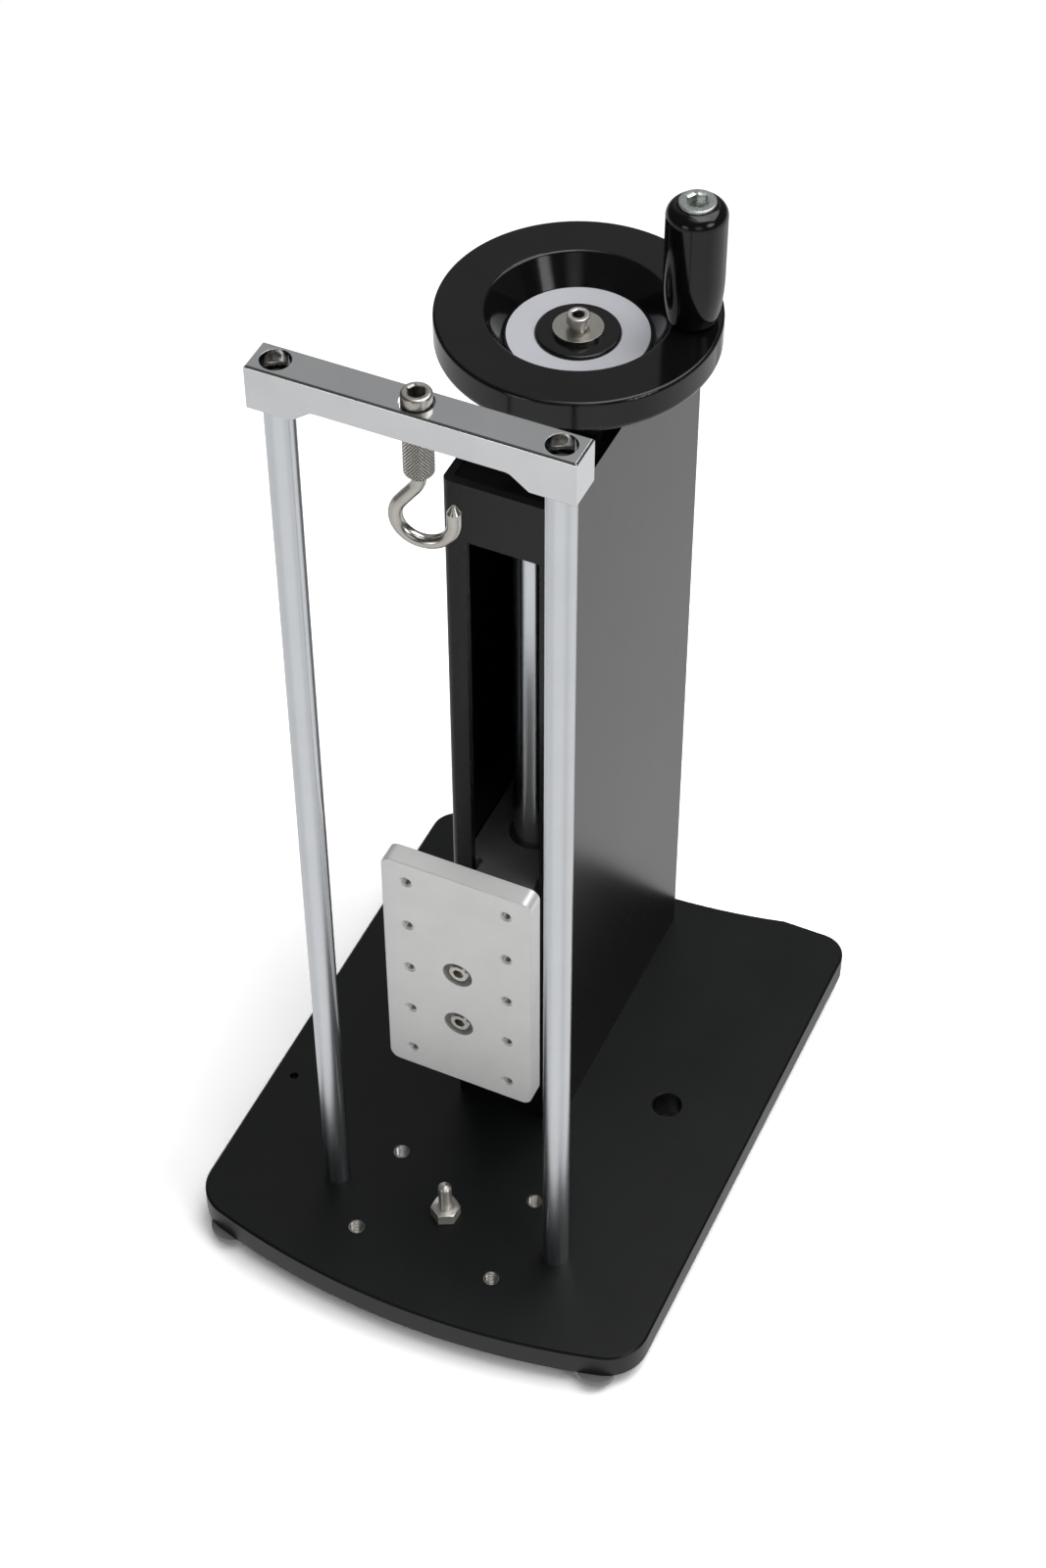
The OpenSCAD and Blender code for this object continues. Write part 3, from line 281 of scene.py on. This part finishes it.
class Paint:
    """A Principled material that is put together from small procedural steps"""

    def __init__(self, name, metallic=0.0, ior=1.5):
        self.mat = bpy.data.materials.new(name)
        self.mat.use_nodes = True
        self.tree = self.mat.node_tree
        self.shader = self.tree.nodes["Principled BSDF"]
        self.shader.inputs["Metallic"].default_value = metallic
        self.shader.inputs["IOR"].default_value = ior
        self.place = self.tree.nodes.new("ShaderNodeTexCoord").outputs["Object"]

    def noise(self, scale, stretch=(1, 1, 1), detail=4.0, rough=0.6):
        mapping = self.tree.nodes.new("ShaderNodeMapping")
        mapping.inputs["Scale"].default_value = stretch
        self.tree.links.new(self.place, mapping.inputs["Vector"])
        node = self.tree.nodes.new("ShaderNodeTexNoise")
        node.inputs["Scale"].default_value = scale
        node.inputs["Detail"].default_value = detail
        node.inputs["Roughness"].default_value = rough
        self.tree.links.new(mapping.outputs[0], node.inputs["Vector"])
        return node.outputs["Fac"]

    def span(self, value, low, high, start=0.3, end=0.7):
        node = self.tree.nodes.new("ShaderNodeMapRange")
        node.inputs["From Min"].default_value = start
        node.inputs["From Max"].default_value = end
        node.inputs["To Min"].default_value = low
        node.inputs["To Max"].default_value = high
        self.tree.links.new(value, node.inputs["Value"])
        return node.outputs["Result"]

    def from_axis(self, centre):
        """How far a point is from an upright axis"""
        reach = self.tree.nodes.new("ShaderNodeVectorMath")
        reach.operation = "SUBTRACT"
        reach.inputs[1].default_value = (centre[0] * MM, centre[1] * MM, 0)
        self.tree.links.new(self.place, reach.inputs[0])
        level = self.tree.nodes.new("ShaderNodeVectorMath")
        level.operation = "MULTIPLY"
        level.inputs[1].default_value = (1, 1, 0)
        self.tree.links.new(reach.outputs[0], level.inputs[0])
        length = self.tree.nodes.new("ShaderNodeVectorMath")
        length.operation = "LENGTH"
        self.tree.links.new(level.outputs[0], length.inputs[0])
        return length.outputs["Value"]

    def side_faces(self):
        """1 on faces that look left or right and 0 on all others"""
        axes = self.tree.nodes.new("ShaderNodeSeparateXYZ")
        normal = self.tree.nodes.new("ShaderNodeTexCoord").outputs["Normal"]
        self.tree.links.new(normal, axes.inputs[0])
        sideways = combine(self.tree, "ABSOLUTE", axes.outputs["X"], 0.0)
        return combine(self.tree, "GREATER_THAN", sideways, SIDEWAYS)

    def mix(self, value, dark, light):
        node = self.tree.nodes.new("ShaderNodeMix")
        node.data_type = "RGBA"
        for socket, tone in ((node.inputs["A"], dark), (node.inputs["B"], light)):
            if isinstance(tone, tuple):
                socket.default_value = (*tone, 1)
            else:
                self.tree.links.new(tone, socket)
        self.tree.links.new(value, node.inputs["Factor"])
        return node.outputs["Result"]

    def colour(self, value, dark, light):
        tone = self.mix(value, dark, light)
        self.tree.links.new(tone, self.shader.inputs["Base Color"])

    def roughness(self, value, low, high):
        self.tree.links.new(self.span(value, low, high), self.shader.inputs["Roughness"])

    def brush_upright(self, share):
        """Fine grinding round an upright bar, which smears what it mirrors up and down"""
        tangent = self.tree.nodes.new("ShaderNodeTangent")
        tangent.direction_type = "RADIAL"
        tangent.axis = "Z"
        self.tree.links.new(tangent.outputs[0], self.shader.inputs["Tangent"])
        self.shader.inputs["Anisotropic"].default_value = share
        self.shader.inputs["Anisotropic Rotation"].default_value = 0.25

    def relief(self, value, depth, edge=0.3 * MM):
        """Surface grain of a real depth, on edges that are rounded by a real radius"""
        bump = self.tree.nodes.new("ShaderNodeBump")
        bump.inputs["Distance"].default_value = depth
        self.tree.links.new(value, bump.inputs["Height"])
        if edge:
            bevel = self.tree.nodes.new("ShaderNodeBevel")
            bevel.samples = 4
            bevel.inputs["Radius"].default_value = edge
            self.tree.links.new(bevel.outputs[0], bump.inputs["Normal"])
        self.tree.links.new(bump.outputs[0], self.shader.inputs["Normal"])


def grey(level, warm=0.0):
    """A nearly neutral colour, warmer with more red and less blue"""
    return (level * (1 + warm), level, level * (1 - warm))


def powder_black():
    paint = Paint("powder_black", ior=1.35)
    fine = paint.noise(2600, detail=2.0)
    broad = paint.noise(18)
    paint.colour(paint.span(broad, 0, 1), (0.0028, 0.0034, 0.0036), (0.0042, 0.0050, 0.0053))
    paint.roughness(broad, 0.32, 0.38)
    paint.relief(fine, 0.012 * MM, 0.5 * MM)
    return paint.mat


def column_black():
    paint = Paint("column_black", ior=1.38)
    lines = paint.noise(2600, stretch=(1, 1, 0.012), detail=2.0)
    broad = paint.noise(9)
    # Faces that look left or right turn metallic and a lighter grey. This is partly a brush finish
    # and partly painted sheen for the brighter reflection these faces catch. The front keeps a
    # satin black.
    sides = paint.side_faces()
    paint.tree.links.new(sides, paint.shader.inputs["Metallic"])
    satin = paint.mix(paint.span(broad, 0, 1), grey(0.0042), grey(0.0060))
    brushed_and_sheen = paint.mix(paint.span(lines, 0, 1), grey(0.060), grey(0.076))
    paint.colour(sides, satin, brushed_and_sheen)
    paint.roughness(broad, 0.26, 0.28)
    paint.relief(lines, 0.0004 * MM, 0)
    return paint.mat


def gloss_black(name, rough=0.06):
    paint = Paint(name, ior=1.41)
    broad = paint.noise(30)
    fine = paint.noise(900, detail=2.0)
    paint.colour(paint.span(broad, 0, 1), grey(0.0035), grey(0.0055))
    paint.roughness(fine, rough, rough + 0.05)
    paint.relief(broad, 0.01 * MM, 0.4 * MM)
    return paint.mat


def metal(name, dark, light, rough, grain=900, stretch=(1, 1, 1), depth=0.004, edge=0.3, smear=0,
          metallic=1.0):
    """Metal with a fine directional grain; rough is a pair and the depth is in millimetres"""
    paint = Paint(name, metallic=metallic)
    if smear:
        paint.brush_upright(smear)
    lines = paint.noise(grain, stretch=stretch, detail=3.0)
    broad = paint.noise(45)
    paint.colour(paint.span(broad, 0, 1), dark, light)
    paint.roughness(lines, *rough)
    paint.relief(lines, depth * MM, edge * MM)
    return paint.mat


def recess_shaded_stainless(name, centre, radii, dark, light, rough):
    """Stainless with painted shade: dark inside the first radius from its axis, in knurl valleys
    and hexagon sockets, and bright beyond the second
    """
    paint = Paint(name, metallic=1.0)
    fine = paint.noise(900, detail=3.0)
    # Painted shade: the colour darkens towards the axis, where the knurl valleys and sockets lie in
    # shade
    recess_shade = paint.span(paint.from_axis(centre), 0, 1, radii[0] * MM, radii[1] * MM)
    mottled = paint.mix(paint.span(fine, 0, 1), light, tuple(0.9 * tone for tone in light))
    paint.colour(recess_shade, dark, mottled)
    paint.roughness(fine, *rough)
    paint.relief(fine, 0.001 * MM, 0)
    return paint.mat


def plain(name, dark, light, rough, depth=0.01, edge=0.3):
    """Moulded or painted piece with a fine grain"""
    paint = Paint(name)
    fine = paint.noise(1500, detail=2.0)
    broad = paint.noise(40)
    paint.colour(paint.span(broad, 0, 1), dark, light)
    paint.roughness(fine, *rough)
    paint.relief(fine, depth * MM, edge * MM)
    return paint.mat


def make_materials():
    upright = (1, 1, 0.03)
    warm_dark = (0.47, 0.45, 0.42)
    warm_light = (0.59, 0.57, 0.53)
    return {
        "base_black": powder_black(),
        "column_black": column_black(),
        "cap_black": gloss_black("cap_black", 0.14),
        "foot_grey": plain("foot_grey", grey(0.19), grey(0.24), (0.35, 0.45)),
        "zinc_steel": metal("zinc_steel", grey(0.42), grey(0.52), (0.22, 0.32)),
        "stainless": metal("stainless", warm_dark, warm_light, (0.20, 0.26), depth=0.0015),
        "stainless_knurl": metal("stainless_knurl", warm_dark, warm_light, (0.18, 0.24),
                                 depth=0.001, edge=0),
        # The knurled barrel and the two screw heads carry painted shade in their knurl valleys and
        # sockets
        "barrel_stainless_shaded_valleys": recess_shaded_stainless("barrel_stainless_shaded_valleys", HOOK_AXIS, (5.95, 6.25),
                                           (0.12, 0.11, 0.10), (0.74, 0.72, 0.67), (0.20, 0.26)),
        "hook_screw_stainless_shaded_socket": recess_shaded_stainless("hook_screw_stainless_shaded_socket", HOOK_AXIS, (3.5, 4.1),
                                               (0.22, 0.21, 0.19), (0.50, 0.48, 0.44),
                                               (0.30, 0.36)),
        "hub_screw_stainless_shaded_socket": recess_shaded_stainless("hub_screw_stainless_shaded_socket", SCREW_AXIS, (2.5, 3.0),
                                              (0.16, 0.15, 0.14), (0.72, 0.70, 0.65),
                                              (0.30, 0.36)),
        # A lighter copy of the stainless. Its smear is a real turned finish, and its lighter colour
        # is painted light for the light these turned surfaces catch.
        "stainless_turned_brightened": metal("stainless_turned_brightened", (0.74, 0.72, 0.67), (0.84, 0.82, 0.77),
                                  (0.36, 0.40), depth=0.001, smear=0.9),
        "rod_chrome": metal("rod_chrome", (0.67, 0.69, 0.72), (0.70, 0.72, 0.75), (0.215, 0.225),
                            stretch=upright, depth=0.0001, edge=0, smear=0.8),
        "bar_satin": metal("bar_satin", (0.68, 0.69, 0.70), (0.725, 0.735, 0.745), (0.11, 0.15),
                           stretch=(0.03, 1, 1), depth=0.001),
        "plate_satin": metal("plate_satin", (0.86, 0.86, 0.85), (0.91, 0.91, 0.90), (0.40, 0.48),
                             grain=2200, depth=0.010, edge=0.5, metallic=0.6),
        "plate_thread": metal("plate_thread", (0.62, 0.62, 0.61), (0.72, 0.72, 0.71), (0.2, 0.3),
                              edge=0.03),
        "block_grey": plain("block_grey", grey(0.11), grey(0.15), (0.34, 0.46), depth=0.03),
        "plinth_grey": metal("plinth_grey", grey(0.2), grey(0.25), (0.35, 0.45), depth=0.01),
        "housing_grey": metal("housing_grey", grey(0.09), grey(0.12), (0.3, 0.4),
                              stretch=(0.1, 0.1, 1), depth=0.008),
        "bearing_steel": metal("bearing_steel", grey(0.5), grey(0.56), (0.12, 0.2)),
        "screw_steel": metal("screw_steel", grey(0.38), grey(0.46), (0.22, 0.3), edge=0.1),
        "bushing_dark": plain("bushing_dark", grey(0.02), grey(0.03), (0.35, 0.5)),
        "nut_bronze": metal("nut_bronze", (0.40, 0.24, 0.08), (0.48, 0.30, 0.11), (0.22, 0.34)),
        "wheel_gloss": gloss_black("wheel_gloss", 0.08),
        "grip_matte": gloss_black("grip_gloss", 0.08),
        "dial_silver": plain("dial_silver", (0.52, 0.53, 0.57), (0.55, 0.56, 0.60), (0.4, 0.5),
                             depth=0.002, edge=0.1),
        "axle_steel": metal("axle_steel", (0.50, 0.53, 0.51), (0.60, 0.63, 0.61), (0.24, 0.34)),
        "black_screw": metal("black_screw", grey(0.15), grey(0.21), (0.26, 0.36)),
    }


MATERIALS = make_materials()


# Nodes with a finish of their own within their slot. The stud and its nut take a lighter stainless,
# which is partly painted light.
FINISHES = {
    "rod_top_screws": "stainless",
    "centre_stud": "stainless_turned_brightened",
    "stud_nut": "stainless_turned_brightened",
}


def dress_nodes():
    """Every node of the frame takes the material of its slot"""
    for row in frame["record"]["subparts"]:
        mesh = frame["nodes"][row["node"]].data
        mesh.materials.clear()
        mesh.materials.append(MATERIALS[FINISHES.get(row["node"], row["material_slot"])])


# Pieces with more detail than the plain nodes of the frame, in millimetres

# How steeply the sides of a knurl rise: above 1 it leaves flat tops
KNURL_RISE = 1.35
# A hexagon socket: mouth, mouth bevel, floor and drill point, as shares of its apothem
SOCKET_MOUTH = 1.22
SOCKET_BEVEL = 0.12
SOCKET_FLOOR = 0.5
SOCKET_POINT = 0.2


def skin(rows, join="caps"):
    """Corners and faces over rows of points: closed by caps, or by joining last row to first"""
    count = len(rows[0])
    corners = [point for row in rows for point in row]
    faces = []
    for index in range(len(rows) - (0 if join == "loop" else 1)):
        low = index * count
        high = (index + 1) % len(rows) * count
        for column in range(count - 1):
            faces.append((low + column, low + column + 1, high + column + 1, high + column))
    if join == "caps":
        last = (len(rows) - 1) * count
        faces.append(tuple(range(count - 2, -1, -1)))
        faces.append(tuple(range(last, last + count - 1)))
    return corners, faces


def add_piece(name, shells, body, finish, node=None, sharp=38):
    """One object of one or more closed shells, with edges kept sharp above an angle"""
    corners = []
    faces = []
    for shell_corners, shell_faces in shells:
        first = len(corners)
        corners += [Vector(point) * MM for point in shell_corners]
        faces += [tuple(first + index for index in face) for face in shell_faces]
    mesh = bpy.data.meshes.new(name)
    mesh.from_pydata(corners, [], faces)
    work = bmesh.new()
    work.from_mesh(mesh)
    bmesh.ops.remove_doubles(work, verts=work.verts, dist=0.002 * MM)
    bmesh.ops.dissolve_degenerate(work, edges=work.edges, dist=0.001 * MM)
    bmesh.ops.recalc_face_normals(work, faces=work.faces)
    for face in work.faces:
        face.smooth = True
    for edge in work.edges:
        if len(edge.link_faces) != 2 or edge.calc_face_angle(0) > math.radians(sharp):
            edge.smooth = False
    work.to_mesh(mesh)
    work.free()
    mesh.materials.append(MATERIALS[finish])
    piece = bpy.data.objects.new(name, mesh)
    bpy.context.scene.collection.objects.link(piece)
    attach(piece, body)
    if node:
        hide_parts(node)


def upright(centre):
    """Places a radius, angle and height round an upright axis"""
    return lambda radius, angle, height: (
        centre[0] + radius * math.cos(angle), centre[1] + radius * math.sin(angle), height)


def lathe_rows(rings, columns, place):
    """Rows of points from rings of (radius, height); the radius may be a function of the angle"""
    rows = []
    for radius, height in rings:
        row = []
        for column in range(columns + 1):
            angle = 2 * math.pi * (column % columns) / columns
            row.append(place(radius(angle) if callable(radius) else radius, angle, height))
        rows.append(row)
    return rows


def thread_rows(start, end, pitch, profile, columns, place):
    """Rows of points along a right-hand thread of (share of pitch, radius), cut flat at its ends"""
    closed = profile + [(1.0, profile[0][1])]

    def radius_at(phase):
        phase %= 1
        for (share, radius), (next_share, next_radius) in zip(closed, closed[1:]):
            if phase <= next_share:
                return radius + (next_radius - radius) * (phase - share) / (next_share - share)
        return closed[0][1]

    rows = []
    for turn in range(-1, math.ceil((end - start) / pitch) + 1):
        for share, radius in profile:
            row = []
            for column in range(columns + 1):
                lead = column / columns
                height = start + (turn + share + lead) * pitch
                if start <= height <= end:
                    reach = radius
                else:
                    height = min(max(height, start), end)
                    reach = radius_at((height - start) / pitch - lead)
                row.append(place(reach, 2 * math.pi * lead, height))
            rows.append(row)
    return rows


def knurl(radius, height, depth, count, pitch):
    """A radius as a function of the angle, with two crossing sets of grooves"""
    def reach(angle):
        around = angle / (2 * math.pi) * count
        along = height / pitch
        first = abs(2 * ((around + along) % 1) - 1)
        second = abs(2 * ((around - along) % 1) - 1)
        return radius - depth * (1 - min(1, KNURL_RISE * (1 - max(first, second))))
    return reach


def hexagon(apothem):
    """The radius of a hexagon as a function of the angle"""
    sixth = math.pi / 3
    return lambda angle: apothem / math.cos(angle % sixth - sixth / 2)


def rounded_edge(radius, top, bend, steps=6):
    """Rings that turn from a side into a flat top"""
    rings = []
    for step in range(steps + 1):
        turn = math.pi / 2 * step / steps
        rings.append((radius - bend + bend * math.cos(turn), top - bend + bend * math.sin(turn)))
    return rings


def socket_rings(width, top, depth):
    """Rings of a hexagon socket with a bevelled mouth and a drilled floor"""
    apothem = width / 2
    return [
        (apothem * SOCKET_MOUTH, top),
        (hexagon(apothem), top - apothem * SOCKET_BEVEL),
        (hexagon(apothem), top - depth),
        (apothem * SOCKET_FLOOR, top - depth - apothem * SOCKET_POINT),
    ]


def add_hook_barrel():
    place = upright(HOOK_AXIS)
    foot, shoulder, top = 512.5, 514.9, 534.9
    foot_radius, radius, top_radius = 3.9, 6.3, 5.9
    foot_edge, both_edges = 0.05, 0.35
    depth, grooves, pitch = 0.42, 30, 1.7
    steps, columns = 112, 360
    rings = [(foot_radius, foot)]
    for index in range(steps + 1):
        height = foot + foot_edge + (top - foot - both_edges) * index / steps
        reach = radius if height > shoulder else foot_radius + height - foot
        rings.append((knurl(reach, height, depth, grooves, pitch), height))
    rings.append((top_radius, top))
    add_piece("knurled_barrel", [skin(lathe_rows(rings, columns, place))], "hook",
              "barrel_stainless_shaded_valleys", "hook_barrel", sharp=80)


def add_hub_screw():
    place = upright(SCREW_AXIS)
    foot, seat, collar_top, head_foot, top = 462, 474, 476.1, 476.4, 480.6
    shank_radius, neck_radius, collar_radius, head_radius = 3.0, 3.75, 3.9, 4.9
    knurl_foot, knurl_height, knurl_radius = 476.55, 3.35, 5.1
    depth, grooves, pitch = 0.09, 36, 0.9
    steps = 24
    rings = [(shank_radius, foot), (shank_radius, seat), (neck_radius, seat)]
    rings += rounded_edge(collar_radius, collar_top, 0.3, 3)
    rings += [(collar_radius, head_foot), (head_radius, head_foot)]
    for index in range(steps + 1):
        height = knurl_foot + knurl_height * index / steps
        rings.append((knurl(knurl_radius, height, depth, grooves, pitch), height))
    rings += rounded_edge(4.98, top, 0.6)
    rings += socket_rings(4.8, top, 5.0)
    add_piece("knurled_hub_screw", [skin(lathe_rows(rings, 216, place))], "wheel",
              "hub_screw_stainless_shaded_socket", "hub_screw", sharp=50)


def add_hook_screw():
    place = upright(HOOK_AXIS)
    foot, seat, side_foot, top = 524.975, 546.1, 546.4, 554.1
    shank_radius, seat_radius, head_radius = 4.0, 6.0, 6.3
    rings = [(shank_radius, foot), (shank_radius, seat), (seat_radius, seat)]
    rings += [(head_radius, side_foot)]
    rings += rounded_edge(head_radius, top, 1.3, 8)
    rings += socket_rings(6.4, top, 6.5)
    add_piece("rounded_hook_screw", [skin(lathe_rows(rings, 96, place))], "hook",
              "hook_screw_stainless_shaded_socket", "hook_screw")


def add_handle_axle():
    place = upright(HANDLE_AXIS)
    foot, shoulder, flange_foot, side_foot, top = 470.625, 483, 539.27, 539.6, 543.217
    thread_radius, axle_radius, seat_radius, flange_radius = 4.0, 5.0, 7.5, 7.9
    rings = [(thread_radius, foot), (thread_radius, shoulder), (axle_radius, shoulder)]
    rings += [(axle_radius, flange_foot), (seat_radius, flange_foot), (flange_radius, side_foot)]
    rings += rounded_edge(flange_radius, top, 0.5)
    rings += socket_rings(7.9, top, 6.5)
    add_piece("socket_handle_axle", [skin(lathe_rows(rings, 96, place))], "wheel",
              "axle_steel", "handle_axle")


def add_lead_screw():
    place = upright(SCREW_AXIS)
    foot, thread_foot, thread_top, top = 35, 45, 448.5, 471.5
    journal_radius, end_radius = 6.0, 5.6
    lead, columns = 4.0, 36
    profile = [(0.0, 6.1), (0.34, 6.1), (0.46, 8.0), (0.88, 8.0)]
    rows = lathe_rows([(end_radius, foot), (journal_radius, 35.4), (journal_radius, thread_foot)],
                      columns, place)
    rows += thread_rows(thread_foot, thread_top, lead, profile, columns, place)
    rows += lathe_rows([(journal_radius, thread_top), (journal_radius, 471.1), (end_radius, top)],
                       columns, place)
    add_piece("threaded_lead_screw", [skin(rows)], "wheel", "screw_steel",
              "lead_screw")


def add_insert_threads():
    profile = [(0.0, 3.95), (0.2, 3.95), (0.46, 3.4), (0.74, 3.4)]
    foot, thread_foot, thread_top, top = 13, 13.2, 24.6, 25
    outer_radius, pitch, columns = 4.1, 1.25, 40
    shells = []
    for x in (-37, 37):
        for y in (-120.5, -69.5):
            place = upright((x, y))
            rows = lathe_rows([(outer_radius, 24.85), (outer_radius, foot), (3.6, foot)],
                              columns, place)
            rows += thread_rows(thread_foot, thread_top, pitch, profile, columns, place)
            rows += lathe_rows([(3.72, thread_top), (3.9, top), (4.0, top)], columns, place)
            shells.append(skin(rows, join="loop"))
    add_piece("threaded_inserts", shells, "base", "stainless_knurl",
              "thread_inserts", sharp=30)


def add_plate_threads():
    profile = [(0.0, 2.46), (0.12, 2.46), (0.5, 2.08), (0.62, 2.08)]
    rear, front = -65.2, -73.8
    outer_radius, inner_radius, pitch, columns = 2.56, 2.46, 0.9, 32
    shells = []
    for x in (-25, 25):
        for z in (122, 152, 182, 212, 242):
            def place(radius, angle, height, x=x, z=z):
                return (x + radius * math.sin(angle), height, z + radius * math.cos(angle))
            rows = lathe_rows([(outer_radius, rear), (outer_radius, front), (inner_radius, front)],
                              columns, place)
            rows += thread_rows(front, rear, pitch, profile, columns, place)
            rows += lathe_rows([(inner_radius, rear)], columns, place)
            shells.append(skin(rows, join="loop"))
    add_piece("plate_hole_threads", shells, "carriage", "plate_thread", sharp=30)


bpy.context.scene.view_settings.view_transform = "Standard"
add_camera()
add_floor()
add_world()
add_lights()
dress_nodes()
add_hook_barrel()
add_hub_screw()
add_hook_screw()
add_handle_axle()
add_lead_screw()
add_insert_threads()
add_plate_threads()
